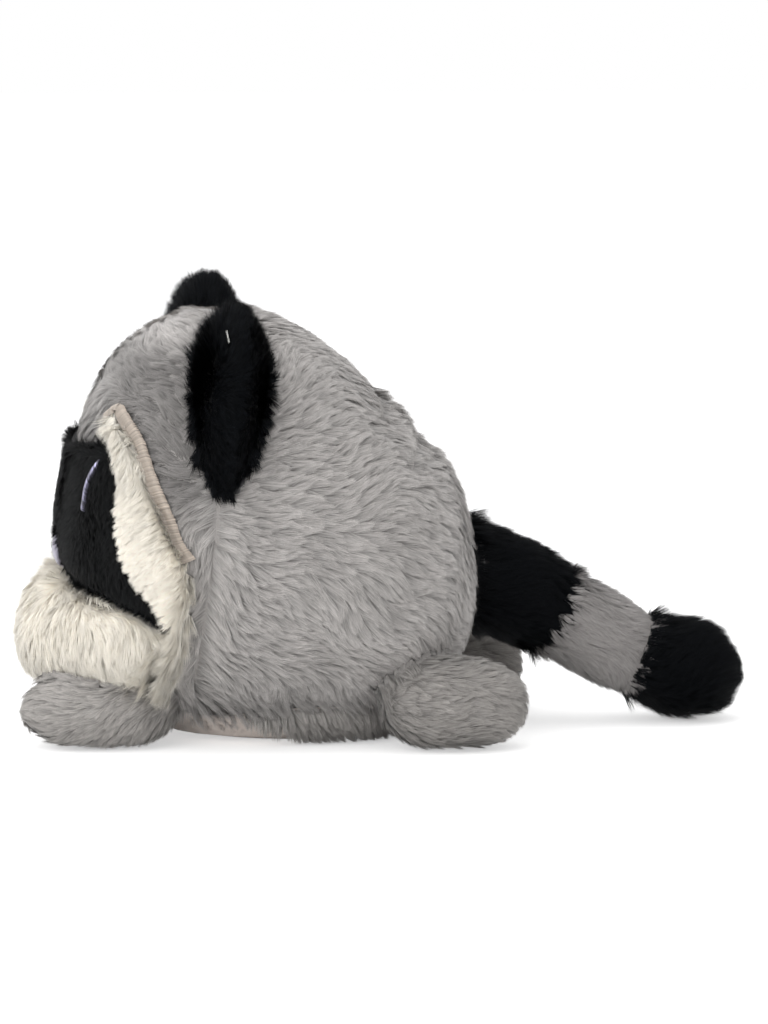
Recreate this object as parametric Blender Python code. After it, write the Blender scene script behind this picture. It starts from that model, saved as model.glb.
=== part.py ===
"""A palm-sized plush raccoon: a round stuffed body on four short feet, a banded tail, round ears sewn into
the side seams, and a face of cream and black plush panels with embroidered eyes and nose.

Metres, +Z up. The raccoon faces -Y and its left side is +X. The origin is on the floor, under the middle of
the stuffing. Sizes are those of the furry outside, because the pile is part of each plush piece."""

import math

import bpy
import numpy as np

# Air left between two pieces that are sewn face to face.
GAP = 0.0003

# Stuffed body, measured from the middle of the stuffing.
MIDDLE_HEIGHT = 0.063
BODY_FRONT = 0.069
BODY_BACK = 0.068
BODY_TOP = 0.0805
BODY_UNDER = 0.057
BODY_HALF_WIDTH = 0.069
# Side outline of the body as shares of those reaches: (back or front, up or down).
BODY_OUTLINE = (
    (-0.55, -0.93), (-0.84, -0.61), (-0.99, -0.18), (-0.995, 0.15), (-0.955, 0.345), (-0.87, 0.625),
    (-0.70, 0.835), (-0.42, 0.965), (-0.20, 0.995), (0.05, 0.935), (0.28, 0.82), (0.455, 0.70),
    (0.61, 0.60), (0.74, 0.47), (0.87, 0.34), (0.95, 0.19), (1.0, -0.05), (0.98, -0.50),
    (0.85, -0.80), (0.50, -0.97), (0.0, -1.0),
)
# How square the body is from side to side: 2 is an ellipse.
BODY_FULLNESS = 2.4
BODY_SEGMENTS = 60
BODY_RINGS = 26

# Creases across the back, where the stuffing folds: (degrees up from level behind, depth).
BACK_CREASES = ((54.0, 0.0038), (36.0, 0.0046))
CREASE_WIDTH = 0.0050
CREASE_REACH = 0.042

# Seam between the front and the back panels, which also holds the ears. It leans forward going down.
SEAM_Y = -0.0250
SEAM_LEAN = 0.125
SEAM_DEPTH = 0.0024
SEAM_WIDTH = 0.0048

# Face panels, laid out in degrees as seen from the middle of the stuffing: (left of straight ahead, up).
MASK_TOP_EDGE = ((0.0, 27.0), (18.0, 28.0), (37.4, 29.0))
MASK_REAR_EDGE = (
    (37.4, 29.0), (40.6, 21.5), (43.0, 7.3), (46.2, -1.0), (50.0, -6.0), (54.5, -10.2), (57.8, -13.4),
    (58.4, -14.8),
)
MASK_LOWER_EDGE = (
    (0.0, 4.8), (5.0, 3.8), (10.5, -2.8), (18.0, -6.2), (27.3, -7.9), (38.7, -9.6), (47.0, -11.6),
    (57.4, -16.2),
)
MASK_THICKNESS = 0.0026

MUZZLE_UPPER_EDGE = (
    (0.0, -7.6), (5.5, -7.0), (11.0, -4.6), (18.0, -7.1), (27.3, -8.9), (38.7, -10.7), (47.0, -12.8),
    (57.4, -17.4),
)
MUZZLE_LOWER_EDGE = ((0.0, -41.0), (15.0, -41.0), (28.0, -40.4), (37.0, -39.4), (42.8, -37.6))
MUZZLE_BULGE = 0.0240
MUZZLE_CHEEK_THICKNESS = 0.0062
# Where the bulge has faded into the cheek, in degrees from straight ahead, and how far up the muzzle it is
# fullest, as a share of the muzzle's height.
MUZZLE_BULGE_WIDTH = 44.0
MUZZLE_CREST = 0.42
MUZZLE_RIM = 0.0012

BROW_INNER_EDGE = (
    (29.6, 33.4), (38.4, 28.4), (41.6, 21.5), (44.0, 7.3), (47.2, -1.0), (51.0, -5.4), (55.5, -9.4),
    (58.6, -12.8), (59.4, -16.8), (55.4, -24.0), (49.4, -31.0), (43.8, -37.6),
)
BROW_OUTER_EDGE = (
    (34.2, 36.2), (44.2, 29.2), (49.6, 22.0), (56.4, 11.5), (60.8, 4.0), (63.4, -2.0), (62.8, -9.0),
    (61.0, -17.2), (58.0, -24.0), (53.4, -31.2), (47.6, -38.2),
)
BROW_THICKNESS = 0.0036

# Satin stitching round the brow, from its front corner over the top and down behind.
STITCH_CAP = ((28.4, 34.6), (31.8, 36.6), (35.4, 38.0))
STITCH_SIDE = ((35.4, 38.0), (46.4, 30.4), (51.8, 23.0), (58.6, 12.5), (63.0, 5.0), (65.6, 0.8))
STITCH_WIDTH = 0.0030
STITCH_THICKNESS = 0.0016

# Embroidered nose pad and the curved line of each eye.
NOSE_UPPER_EDGE = ((8.4, -2.2), (5.0, 2.4), (0.0, 3.6), (-5.0, 2.4), (-8.4, -2.2))
NOSE_LOWER_EDGE = ((8.0, -3.8), (4.6, -5.9), (0.0, -6.6), (-4.6, -5.9), (-8.0, -3.8))
NOSE_THICKNESS = 0.0026
EYE_LINE = ((34.0, 23.8), (31.0, 20.8), (29.4, 17.4), (29.2, 12.2))
EYE_WIDTH = 0.0022
EYE_THICKNESS = 0.0009

# Half-round ears, standing out of the seam.
EAR_HEIGHTS = {"left": 0.1150, "right": 0.1185}
EAR_HALF_LENGTH = 0.032
EAR_REACH = 0.028
EAR_HALF_THICKNESS = 0.0138
# Under 1 an ear or a foot is fuller at its rim than a ball would be.
EAR_PLUMPNESS = 0.8
FOOT_PLUMPNESS = 0.92
# How much thinner an ear gets towards its lower end, as a share of its thickness.
EAR_TAPER = 0.28

# Feet: half width, half length and height of each, how far its middle lies inside the body's side, and its Y.
FRONT_FOOT_SIZE = (0.0165, 0.0270, 0.0275)
FRONT_FOOT_INSET = 0.038
FRONT_FOOT_Y = {"left": -0.0585, "right": -0.0500}
HIND_FOOT_SIZE = (0.0170, 0.0255, 0.0320)
HIND_FOOT_INSET = {"left": 0.020, "right": 0.033}
HIND_FOOT_Y = {"left": 0.0545, "right": 0.0655}
# How far a foot's round underside is pressed flat on the floor.
FOOT_PRESSED = 0.0018

# Tail: three bands on a line that droops from the rump and levels out at the tip.
TAIL_ROOT_Y = 0.058
TAIL_ROOT_HEIGHT = 0.0545
TAIL_BAND_LENGTHS = (0.0415, 0.0325, 0.0350)
TAIL_RADII = (0.0188, 0.0166, 0.0148, 0.0178)
TAIL_HEADINGS = (-19.0, -32.0, 2.0)
TAIL_PUFF = 0.0010
TAIL_SIDES = 20

# Belly panel: a smooth cushion under the body, flat where it stands.
BASE_HALF_WIDTH = BODY_HALF_WIDTH - 0.028
BASE_MIDDLE = 0.010
BASE_FRONT_REACH = 0.059
BASE_BACK_REACH = 0.043
BASE_EDGE_THICKNESS = 0.0016
BASE_FLAT_SHARE = 0.60

# Colours as linear red, green and blue.
GREY = (0.40, 0.39, 0.38)
CREAM = (0.68, 0.64, 0.57)
BLACK = (0.008, 0.009, 0.010)
BEIGE = (0.47, 0.40, 0.36)
THREAD = (0.60, 0.54, 0.48)
LAVENDER = (0.38, 0.35, 0.44)


def clear_scene():
    for ob in list(bpy.data.objects):
        bpy.data.objects.remove(ob)


def material(name, colour, roughness):
    """A Principled material, made once for each object."""
    mat = bpy.data.materials.new(name)
    mat.use_nodes = True
    shader = mat.node_tree.nodes["Principled BSDF"]
    shader.inputs["Base Color"].default_value = (*colour, 1.0)
    shader.inputs["Roughness"].default_value = roughness
    shader.inputs["Metallic"].default_value = 0.0
    return mat


def add_object(name, points, faces, colour=None, roughness=0.95):
    """An object of one closed mesh of triangles. Without a colour it is a hidden cutter."""
    mesh = bpy.data.meshes.new(name)
    triangles = [(face[0], b, c) for face in faces for b, c in zip(face[1:], face[2:])]
    mesh.from_pydata([tuple(map(float, p)) for p in points], [], triangles)
    mesh.validate()
    mesh.update()
    mesh.shade_smooth()
    ob = bpy.data.objects.new(name, mesh)
    bpy.context.scene.collection.objects.link(ob)
    if colour is None:
        ob.hide_render = True
        ob.display_type = "WIRE"
    else:
        mesh.materials.append(material(name, colour, roughness))
    return ob


def cut_by(ob, *cutters):
    """Seats ob against its neighbours by taking their grown copies out of it."""
    for cutter in cutters:
        mod = ob.modifiers.new(f"seat on {cutter.name}", "BOOLEAN")
        mod.operation = "DIFFERENCE"
        mod.solver = "EXACT"
        mod.object = cutter


def flipped(faces):
    return [face[::-1] for face in faces]


def on_side(side, points, faces):
    """A left-hand shape, or its mirror image for the right."""
    if side == "left":
        return points, faces
    return points * (-1.0, 1.0, 1.0), flipped(faces)


# The body's side outline as a smooth closed curve of radius against angle.


def closed_spline(angles, values):
    """The smooth closed curve through values at angles, as a function of the angle."""
    count = len(angles)
    step = np.diff(np.append(angles, angles[0] + 2 * math.pi))
    rise = np.diff(np.append(values, values[0])) / step
    system = np.zeros((count, count))
    right = np.zeros(count)
    for i in range(count):
        system[i, i - 1] += step[i - 1]
        system[i, i] += 2 * (step[i - 1] + step[i])
        system[i, (i + 1) % count] += step[i]
        right[i] = 6 * (rise[i] - rise[i - 1])
    bend = np.linalg.solve(system, right)

    def value(at):
        turned = np.mod(at - angles[0], 2 * math.pi) + angles[0]
        i = np.clip(np.searchsorted(angles, turned, side="right") - 1, 0, count - 1)
        k = (i + 1) % count
        before = turned - angles[i]
        after = step[i] - before
        return (
            (bend[i] * after**3 + bend[k] * before**3) / (6 * step[i])
            + (values[i] / step[i] - bend[i] * step[i] / 6) * after
            + (values[k] / step[i] - bend[k] * step[i] / 6) * before
        )

    return value


def outline_radius():
    """Radius of the side outline against the angle up from level behind."""
    shares = np.array(BODY_OUTLINE)
    along = np.where(shares[:, 0] < 0, BODY_FRONT, BODY_BACK) * shares[:, 0]
    up = np.where(shares[:, 1] > 0, BODY_TOP, BODY_UNDER) * shares[:, 1]
    angles = np.mod(np.arctan2(up, along), 2 * math.pi)
    order = np.argsort(angles)
    return closed_spline(angles[order], np.hypot(along, up)[order])


MIDDLE = np.array((0.0, 0.0, MIDDLE_HEIGHT))
side_outline = outline_radius()


def seam_y(height_over_middle):
    return SEAM_Y + SEAM_LEAN * height_over_middle


def body_radius(directions):
    """How far the body's surface is from the middle of the stuffing, in each direction."""
    across = np.abs(directions[:, 0]) / BODY_HALF_WIDTH
    in_plane = np.hypot(directions[:, 1], directions[:, 2])
    angle = np.arctan2(directions[:, 2], directions[:, 1])
    outline = side_outline(angle)
    radius = ((in_plane / outline) ** BODY_FULLNESS + across**BODY_FULLNESS) ** (-1 / BODY_FULLNESS)
    x, y, z = (directions * radius[:, None]).T
    for raised, depth in BACK_CREASES:
        away = (angle - math.radians(raised)) * outline / CREASE_WIDTH
        radius = radius - depth * np.exp(-(away**2) - (x / CREASE_REACH) ** 4)
    above_belly = 1 / (1 + np.exp(-(z + 0.6 * BODY_UNDER) / (0.1 * BODY_UNDER)))
    return radius - SEAM_DEPTH * above_belly * np.exp(-(((y - seam_y(z)) / SEAM_WIDTH) ** 2))


def towards(bearings):
    """Unit vectors for (degrees left of straight ahead, degrees up)."""
    left, up = np.radians(np.asarray(bearings, float)).reshape(-1, 2).T
    return np.stack([np.cos(up) * np.sin(left), -np.cos(up) * np.cos(left), np.sin(up)], axis=1)


def on_body(bearings, raised=0.0):
    """Points at a height over the body's surface."""
    directions = towards(bearings)
    return MIDDLE + directions * (body_radius(directions) + raised)[:, None]


def out_to_body(starts, direction):
    """The points where lines from inside the body leave it."""
    starts = np.asarray(starts, float)
    direction = np.asarray(direction, float)
    near, far = np.zeros(len(starts)), np.full(len(starts), 2 * BODY_TOP)
    for _ in range(40):
        half = (near + far) / 2
        offset = starts + half[:, None] * direction - MIDDLE
        reach = np.linalg.norm(offset, axis=1)
        inside = reach < body_radius(offset / reach[:, None])
        near, far = np.where(inside, half, near), np.where(inside, far, half)
    return starts + near[:, None] * direction


# Closed shapes that several pieces share.


def ball_faces(rings, sides):
    """Faces of a ball whose points are one pole, rings of sides points, and the other pole."""
    last = 1 + (rings - 1) * sides
    faces = []
    for j in range(sides):
        k = (j + 1) % sides
        faces.append((0, 1 + j, 1 + k))
        for i in range(rings - 2):
            a = 1 + i * sides
            faces.append((a + j, a + sides + j, a + sides + k, a + k))
        faces.append((last - sides + k, last - sides + j, last))
    return faces


def ball_directions(rings, sides, axis):
    """Unit vectors of a ball with its poles on an axis, as ball_faces orders them."""
    u, v = (axis + 1) % 3, (axis + 2) % 3
    vectors = [np.eye(3)[axis]]
    for i in range(1, rings):
        polar = math.pi * i / rings
        for j in range(sides):
            turn = 2 * math.pi * j / sides
            vector = np.zeros(3)
            vector[axis] = math.cos(polar)
            vector[u] = math.sin(polar) * math.cos(turn)
            vector[v] = math.sin(polar) * math.sin(turn)
            vectors.append(vector)
    vectors.append(-np.eye(3)[axis])
    return np.array(vectors)


def smooth_line(points, count):
    """count points spread evenly along a smooth curve through a few points."""
    points = np.asarray(points, float)
    ends = np.vstack([2 * points[0] - points[1], points, 2 * points[-1] - points[-2]])
    fine = []
    for a, b, c, d in zip(ends, ends[1:], ends[2:], ends[3:]):
        square, cube = 2 * a - 5 * b + 4 * c - d, 3 * b - a - 3 * c + d
        for t in np.linspace(0, 1, 12, endpoint=False):
            fine.append(b + 0.5 * ((c - a) * t + square * t**2 + cube * t**3))
    fine = np.array([*fine, points[-1]])
    along = np.concatenate([[0], np.cumsum(np.linalg.norm(np.diff(fine, axis=0), axis=1))])
    at = np.linspace(0, along[-1], count)
    return np.stack([np.interp(at, along, fine[:, k]) for k in range(2)], axis=1)


def whole_width(half):
    """A line from the middle of the face to the left, carried on to the right: left end first."""
    return np.vstack([half[::-1], half[1:] * (-1.0, 1.0)])


def panel(upper, lower, rows, thickness, raised=0.0, grown=0.0):
    """Points and faces of a plush panel that lies on the body between two lines of bearings.

    thickness takes shares along and across the panel and gives how thick it is there."""
    columns = len(upper)
    grid = np.array([lower + (upper - lower) * t for t in np.linspace(0, 1, rows)])
    along, across = np.meshgrid(np.linspace(0, 1, columns), np.linspace(0, 1, rows))
    bearings = grid.reshape(-1, 2)
    thick = thickness(along.ravel(), across.ravel())
    inner = on_body(bearings, raised + GAP - grown)
    outer = on_body(bearings, raised + GAP + thick + grown)
    if grown:
        spread_out(inner, rows, columns, grown)
        spread_out(outer, rows, columns, grown)
    faces, count = [], rows * columns
    for i in range(rows - 1):
        for j in range(columns - 1):
            a = i * columns + j
            quad = (a, a + 1, a + columns + 1, a + columns)
            faces.append(quad)
            faces.append(tuple(count + n for n in reversed(quad)))
    rim = list(range(columns)) + [i * columns + columns - 1 for i in range(1, rows)]
    rim += list(range(count - 2, count - columns - 1, -1)) + [i * columns for i in range(rows - 2, 0, -1)]
    for a, b in zip(rim, rim[1:] + rim[:1]):
        faces.append((b, a, count + a, count + b))
    return np.vstack([outer, inner]), flipped(faces)


def spread_out(points, rows, columns, by):
    """Moves a grid's rim outwards in its own surface."""
    grid = points.reshape(rows, columns, 3)
    for edge, inside in (
        (grid[0], grid[1]), (grid[-1], grid[-2]), (grid[:, 0], grid[:, 1]), (grid[:, -1], grid[:, -2]),
    ):
        away = edge - inside
        edge += by * away / np.linalg.norm(away, axis=1)[:, None]


def pillow(full, edge=0.22, roundness=4):
    """A thickness that is full in the middle and thin at every edge."""

    def thickness(along, across):
        middle = 1 - np.abs(2 * across - 1) ** roundness
        ends = 1 - np.abs(2 * along - 1) ** (2 * roundness)
        return full * (edge + (1 - edge) * np.sqrt(np.clip(middle * ends, 0, 1)))

    return thickness


# The stuffed body.


def body_points(grown=0.0):
    directions = ball_directions(BODY_RINGS, BODY_SEGMENTS, 0)
    return MIDDLE + directions * (body_radius(directions) + grown)[:, None]


def add_body():
    faces = ball_faces(BODY_RINGS, BODY_SEGMENTS)
    add_object("body", body_points(), faces, GREY)
    return add_object("body_seat", body_points(GAP), faces)


# The face.


def add_mask():
    upper = np.vstack([smooth_line(MASK_TOP_EDGE, 8), smooth_line(MASK_REAR_EDGE, 12)[1:]])
    lower = smooth_line(MASK_LOWER_EDGE, len(upper))
    points, faces = panel(whole_width(upper), whole_width(lower), 7, pillow(MASK_THICKNESS, 0.4, 8))
    add_object("face_mask", points, faces, BLACK)


def muzzle_thickness(along, across):
    """The stuffed snout: fullest in front, thin where it runs into the cheeks."""
    bearing = np.abs(2 * along - 1) * MUZZLE_LOWER_EDGE[-1][0]
    fade = np.clip(bearing / MUZZLE_BULGE_WIDTH, 0, 1)
    bulge = MUZZLE_CHEEK_THICKNESS + (MUZZLE_BULGE - MUZZLE_CHEEK_THICKNESS) * (1 - fade**2) ** 1.5
    below = np.clip(across / MUZZLE_CREST, 0, 1) ** 0.5
    above = np.clip((across - MUZZLE_CREST) / (1 - MUZZLE_CREST), 0, 1)
    rise = below * np.cos(above * math.pi / 2) ** 0.65
    ends = np.clip(1 - np.abs(2 * along - 1) ** 10, 0, 1)
    return MUZZLE_RIM + bulge * rise * np.sqrt(ends)


def muzzle_points(grown=0.0):
    upper = whole_width(smooth_line(MUZZLE_UPPER_EDGE, 15))
    lower = whole_width(smooth_line(MUZZLE_LOWER_EDGE, 15))
    return panel(upper, lower, 10, muzzle_thickness, grown=grown)


def add_muzzle():
    add_object("muzzle", *muzzle_points(), CREAM)
    return add_object("muzzle_seat", *muzzle_points(GAP))


def brow_points(side, grown=0.0):
    inner = smooth_line(BROW_INNER_EDGE, 18)
    outer = smooth_line(BROW_OUTER_EDGE, 18)
    points, faces = panel(outer, inner, 5, pillow(BROW_THICKNESS, 0.35), grown=grown)
    return on_side(side, points, flipped(faces))


def add_brow(side):
    add_object(f"brow_patch_{side}", *brow_points(side), CREAM)
    return add_object(f"brow_seat_{side}", *brow_points(side, GAP))


def beside(line, distance):
    """A line of bearings moved sideways over the body, to the left of its own direction."""
    line = np.asarray(line, float)
    squeeze = np.cos(np.radians(line[:, 1]))
    flat = np.stack([line[:, 0] * squeeze.mean(), line[:, 1]], axis=1)
    heading = np.gradient(flat, axis=0)
    heading /= np.linalg.norm(heading, axis=1)[:, None]
    degrees = math.degrees(distance / BODY_HALF_WIDTH)
    return line + degrees * np.stack([-heading[:, 1] / squeeze.mean(), heading[:, 0]], axis=1)


def add_embroidered_line(name, side, line, width, thickness, raised, colour):
    edges = beside(line, width / 2), beside(line, -width / 2)
    points, faces = panel(*edges, 3, pillow(thickness, 0.3, 2), raised)
    add_object(f"{name}_{side}", *on_side(side, points, flipped(faces)), colour, 0.5)


def add_brow_stitching(side):
    line = np.vstack([smooth_line(STITCH_CAP, 4), smooth_line(STITCH_SIDE, 16)[1:]])
    add_embroidered_line("brow_stitching", side, line, STITCH_WIDTH, STITCH_THICKNESS, 0.0, THREAD)


def add_eye(side):
    over_mask = GAP + MASK_THICKNESS
    line = smooth_line(EYE_LINE, 9)
    add_embroidered_line("eye_embroidery", side, line, EYE_WIDTH, EYE_THICKNESS, over_mask, LAVENDER)


def add_nose():
    upper = smooth_line(NOSE_UPPER_EDGE, 11)
    lower = smooth_line(NOSE_LOWER_EDGE, 11)
    points, faces = panel(upper, lower, 5, pillow(NOSE_THICKNESS, 0.25, 2))
    add_object("nose_embroidery", points, faces, LAVENDER, 0.5)


# Ears, feet, belly and tail.


def add_ear(side, body_seat):
    """A stuffed half-disc: a ball squashed along Y, with its inner half taken off by the body."""
    height, step = EAR_HEIGHTS[side], 0.002
    rise = height - MIDDLE_HEIGHT
    middle = out_to_body([(0.0, seam_y(rise), height)], (1, 0, 0))[0]
    above = out_to_body([(0.0, seam_y(rise + step), height + step)], (1, 0, 0))[0]
    chord = (above - middle) / np.linalg.norm(above - middle)
    outwards = np.cross((0.0, 1.0, 0.0), chord)
    outwards /= np.linalg.norm(outwards)
    forward = np.cross(chord, outwards)
    directions = ball_directions(14, 22, 1)
    thick = np.sign(directions[:, 1]) * np.abs(directions[:, 1]) ** EAR_PLUMPNESS
    thick *= 1 - EAR_TAPER * np.clip(-directions[:, 2], 0, 1) ** 2
    points = (
        middle
        + np.outer(directions[:, 2] * EAR_HALF_LENGTH, chord)
        + np.outer(directions[:, 0] * EAR_REACH, outwards)
        + np.outer(thick * EAR_HALF_THICKNESS, forward)
    )
    shape = on_side(side, points, ball_faces(14, 22))
    cut_by(add_object(f"ear_{side}", *shape, BLACK), body_seat)


def add_foot(name, side, size, middle, seats):
    """A short stuffed foot, pressed flat on the floor and seated under the body."""
    half_width, half_length, height = size
    directions = ball_directions(12, 18, 1)
    plump = np.sign(directions) * np.abs(directions) ** FOOT_PLUMPNESS
    half_height = (height + FOOT_PRESSED) / 2
    points = plump * (half_width, half_length, half_height)
    points += (middle[0], middle[1], half_height - FOOT_PRESSED)
    points[:, 2] = np.maximum(points[:, 2], 0.0)
    shape = on_side(side, points, ball_faces(12, 18))
    cut_by(add_object(f"{name}_{side}", *shape, GREY), *seats)


def base_points(grown=0.0):
    """The belly panel: it follows the body above and is flat on the floor below."""
    sides, rings = 28, 6
    shares = np.linspace(0, 1, rings)
    plan = [(0.0, BASE_MIDDLE, 0.0)]
    for share in shares[1:]:
        for j in range(sides):
            turn = 2 * math.pi * j / sides
            reach = BASE_BACK_REACH if math.cos(turn) > 0 else BASE_FRONT_REACH
            x = share * (BASE_HALF_WIDTH + grown) * math.sin(turn)
            y = share * (reach + grown) * math.cos(turn)
            plan.append((x, BASE_MIDDLE + y, share))
    plan = np.array(plan)
    starts = np.column_stack([plan[:, :2], np.full(len(plan), MIDDLE_HEIGHT)])
    under_body = out_to_body(starts, (0, 0, -1))
    upper = under_body + (0, 0, BASE_EDGE_THICKNESS)
    lift = np.clip((plan[:, 2] - BASE_FLAT_SHARE) / (1 - BASE_FLAT_SHARE), 0, 1) ** 1.7
    lower = upper.copy()
    lower[:, 2] = lift * (under_body[:, 2] - GAP - BASE_EDGE_THICKNESS) - grown
    faces, count = [], len(plan)
    for j in range(sides):
        k = (j + 1) % sides
        faces.append((0, 1 + k, 1 + j))
        for i in range(rings - 2):
            a = 1 + i * sides
            faces.append((a + j, a + k, a + sides + k, a + sides + j))
        a = 1 + (rings - 2) * sides
        faces.append((a + j, a + k, count + a + k, count + a + j))
    below = [tuple(count + n for n in reversed(face)) for face in faces if max(face) < count]
    return np.vstack([upper, lower]), faces + below


def add_base(body_seat):
    cut_by(add_object("base_panel", *base_points(), BEIGE, 0.8), body_seat)
    return add_object("base_seat", *base_points(GAP))


def tail_line():
    """Points and headings along the tail's middle, with the distance of each from the root."""
    total = sum(TAIL_BAND_LENGTHS)
    steps = 120
    distance = np.linspace(0, total, steps + 1)
    heading = np.radians(np.interp(distance, [0, 0.55 * total, total], TAIL_HEADINGS))
    forward = np.stack([np.zeros_like(heading), np.cos(heading), np.sin(heading)], axis=1)
    moves = (forward[1:] + forward[:-1]) / 2 * (total / steps)
    points = np.array((0.0, TAIL_ROOT_Y, TAIL_ROOT_HEIGHT)) + np.vstack([np.zeros(3), np.cumsum(moves, axis=0)])
    return distance, points, forward


def tail_ring(distance, radius):
    along, points, forward = tail_line()
    centre = np.array([np.interp(distance, along, points[:, k]) for k in range(3)])
    ahead = np.array([np.interp(distance, along, forward[:, k]) for k in range(3)])
    up = np.cross((1.0, 0.0, 0.0), ahead)
    turns = 2 * np.pi * np.arange(TAIL_SIDES) / TAIL_SIDES
    return centre + radius * (np.outer(np.cos(turns), (1.0, 0.0, 0.0)) + np.outer(np.sin(turns), up))


def tube(rings):
    """Points and faces of a closed stack of rings, each end filled round a middle point."""
    sides = TAIL_SIDES
    points = np.vstack([rings[0].mean(axis=0), *rings, rings[-1].mean(axis=0)])
    faces = ball_faces(len(rings) + 1, sides)
    return points, faces


def add_tail(body_seat):
    seams = np.concatenate([[0], np.cumsum(TAIL_BAND_LENGTHS)])
    bands = (("tail_root_band", BLACK), ("tail_middle_band", GREY), ("tail_tip", BLACK))
    for i, (name, colour) in enumerate(bands):
        start, end = seams[i] + GAP / 2, seams[i + 1] - GAP / 2
        rings = []
        if name == "tail_tip":
            widest = end - TAIL_RADII[3]
            for share in (0.0, 0.35, 0.7):
                radius = TAIL_RADII[2] + (TAIL_RADII[3] - TAIL_RADII[2]) * math.sin(share * math.pi / 2)
                rings.append(tail_ring(start + (widest - start) * share, radius))
            for turn in np.radians((0, 22, 42, 60, 75, 86)):
                rings.append(tail_ring(widest + TAIL_RADII[3] * math.sin(turn), TAIL_RADII[3] * math.cos(turn)))
        else:
            for share in np.linspace(0, 1, 7):
                radius = TAIL_RADII[i] + (TAIL_RADII[i + 1] - TAIL_RADII[i]) * share
                radius += TAIL_PUFF * (math.sin(math.pi * share) - 0.35)
                rings.append(tail_ring(start + (end - start) * share, radius))
        ob = add_object(name, *tube(rings), colour)
        if name == "tail_root_band":
            cut_by(ob, body_seat)


clear_scene()
body_seat = add_body()
muzzle_seat = add_muzzle()
base_seat = add_base(body_seat)
add_mask()
add_nose()
for side in ("left", "right"):
    brow_seat = add_brow(side)
    add_brow_stitching(side)
    add_eye(side)
    add_ear(side, body_seat)
    front_seats = (body_seat, muzzle_seat, brow_seat, base_seat)
    front_middle = (BODY_HALF_WIDTH - FRONT_FOOT_INSET, FRONT_FOOT_Y[side])
    add_foot("front_foot", side, FRONT_FOOT_SIZE, front_middle, front_seats)
    hind_middle = (BODY_HALF_WIDTH - HIND_FOOT_INSET[side], HIND_FOOT_Y[side])
    add_foot("hind_foot", side, HIND_FOOT_SIZE, hind_middle, (body_seat, base_seat))
add_tail(body_seat)
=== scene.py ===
import math

import bmesh
import bpy
import numpy as np
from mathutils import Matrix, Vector
from mathutils.bvhtree import BVHTree
from mathutils.kdtree import KDTree


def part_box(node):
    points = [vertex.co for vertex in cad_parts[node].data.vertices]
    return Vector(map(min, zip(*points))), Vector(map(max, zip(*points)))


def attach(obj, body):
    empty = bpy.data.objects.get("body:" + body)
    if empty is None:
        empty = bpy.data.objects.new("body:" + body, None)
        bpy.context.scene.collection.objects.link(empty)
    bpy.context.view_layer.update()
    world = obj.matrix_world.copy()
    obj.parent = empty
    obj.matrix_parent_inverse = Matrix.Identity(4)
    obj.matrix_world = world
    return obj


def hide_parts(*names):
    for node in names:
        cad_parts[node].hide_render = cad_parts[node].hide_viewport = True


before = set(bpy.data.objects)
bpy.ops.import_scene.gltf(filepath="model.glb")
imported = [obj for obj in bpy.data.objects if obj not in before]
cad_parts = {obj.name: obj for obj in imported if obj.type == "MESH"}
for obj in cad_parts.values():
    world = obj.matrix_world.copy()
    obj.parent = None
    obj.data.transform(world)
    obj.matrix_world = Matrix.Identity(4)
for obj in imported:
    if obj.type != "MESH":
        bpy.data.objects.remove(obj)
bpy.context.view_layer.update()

# Body and head: one round form of short grey polyester plush, a front and a back panel sewn together and
# stuffed with fibre. The pile is swept back from the crease under each ear, and hangs in tufts at the hem.
GREY_FIBRE = "#D1CDCA"
# The backing is painted darker than the fibre, as painted shade deep under the pile.
GREY_BACKING = "#A5A19E"
STUFFING_MIDDLE = Vector((0.0, 0.0, 0.063))
SEAM_Y = -0.025
SEAM_LEAN = 0.125
GREY_PILE_LENGTH = 0.0075
GREY_PILE_DEPTH = 0.0022
FRONT_OVERLAP = 0.0032
HEM_HEIGHT = 0.0135
# Ranges of place, forwards or up, over which the pile changes: each starts at its first number.
HEM_TURN = (0.012, 0.030)
HEM_LOOSE = (0.010, 0.026)
HEM_LONG = (0.014, 0.024)
HEM_REAR = (-0.020, 0.0)
FOREHEAD_FRONT = (0.036, 0.052)
FOREHEAD_BOTTOM = (0.085, 0.096)
FOREHEAD_TOP = (0.106, 0.118)
BACK_FAN_HEIGHT = 0.095
CREASE_END = (-0.012, 0.090)
# The pile is painted darker in front of the ears and over the mask, as painted shade: over one range it darkens, and
# over the next it is light again.
BEFORE_EARS = ((-0.062, -0.046), (-0.030, -0.020))
BEFORE_EARS_HEIGHT = ((0.072, 0.090), (0.122, 0.134))
OVER_MASK_FRONT = (0.050, 0.058)
OVER_MASK_TOP = (0.104, 0.114)


def welded(node):
    """A copy of a CAD node's mesh, with the corners of its faces joined."""
    form = bmesh.new()
    form.from_mesh(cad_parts[node].data)
    bmesh.ops.remove_doubles(form, verts=form.verts, dist=1e-5)
    return form


solids = {}
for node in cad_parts:
    form = welded(node)
    solids[node] = BVHTree.FromBMesh(form)
    form.free()


def linear(hex_colour):
    """An sRGB hex colour as the linear red, green, blue and alpha that shaders take."""
    channels = [int(hex_colour[i:i + 2], 16) / 255 for i in (1, 3, 5)]
    return (*(c / 12.92 if c <= 0.04045 else ((c + 0.055) / 1.055) ** 2.4 for c in channels), 1.0)


def add_node(material, kind, settings=None, links=None):
    """Adds a shader node. Settings are inputs or properties with values, links are inputs with (node, output)."""
    node = material.node_tree.nodes.new(kind)
    for key, value in (settings or {}).items():
        if isinstance(key, int) or key in node.inputs:
            node.inputs[key].default_value = value
        else:
            setattr(node, key, value)
    for key, (source, output) in (links or {}).items():
        material.node_tree.links.new(source.outputs[output], node.inputs[key])
    return node


def empty_material(name):
    material = bpy.data.materials.new(name)
    material.use_nodes = True
    material.node_tree.nodes.clear()
    return material


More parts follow.
